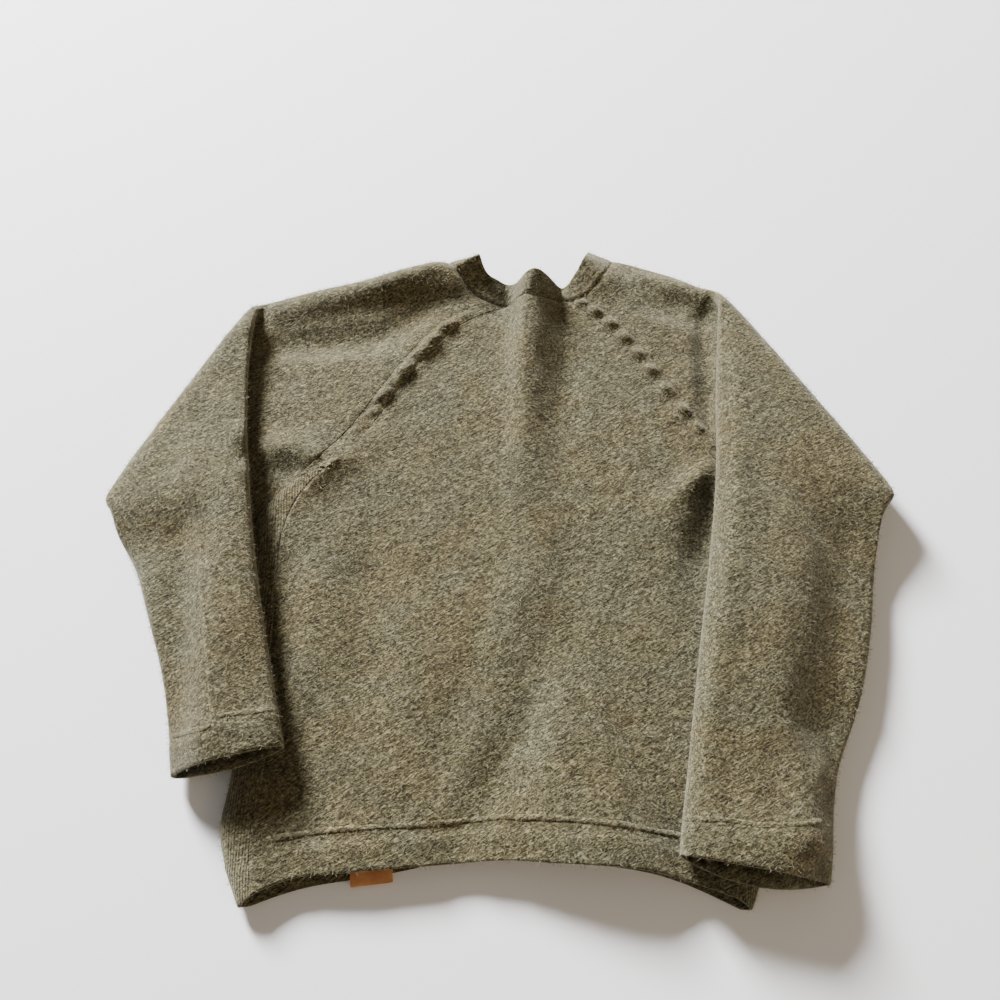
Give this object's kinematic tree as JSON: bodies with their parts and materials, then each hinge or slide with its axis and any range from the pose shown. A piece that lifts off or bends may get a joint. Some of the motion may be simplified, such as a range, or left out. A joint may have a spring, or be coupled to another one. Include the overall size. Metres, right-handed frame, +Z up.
{
  "type": "crewneck sweater",
  "caption": "Felted wool crewneck sweater with raglan sleeves, laid flat on its front with both sleeves folded down over the back.",
  "frame": {"origin": "middle of the garment's outline, on the surface that it lies on", "axes": "+Y from the hem to the neck, +X to the right as the back is seen, +Z up"},
  "size_m": [0.869, 0.762, 0.0581],
  "materials": {
    "felt": "boiled wool knit, olive grey, hairy nap",
    "side_knit": "felted wool knit with wales that show, olive grey",
    "band_felt": "felted rib knit, olive grey",
    "tan_leather": "smooth tan leather, satin"
  },
  "bodies": {
    "root": {"back": "felt", "front": "felt", "side_left": "side_knit", "side_right": "side_knit", "sleeve_left": "felt", "sleeve_right": "felt", "raglan_left": "felt", "raglan_right": "felt", "neckband": "band_felt", "hem_tab": "tan_leather"}
  },
  "joints": []
}
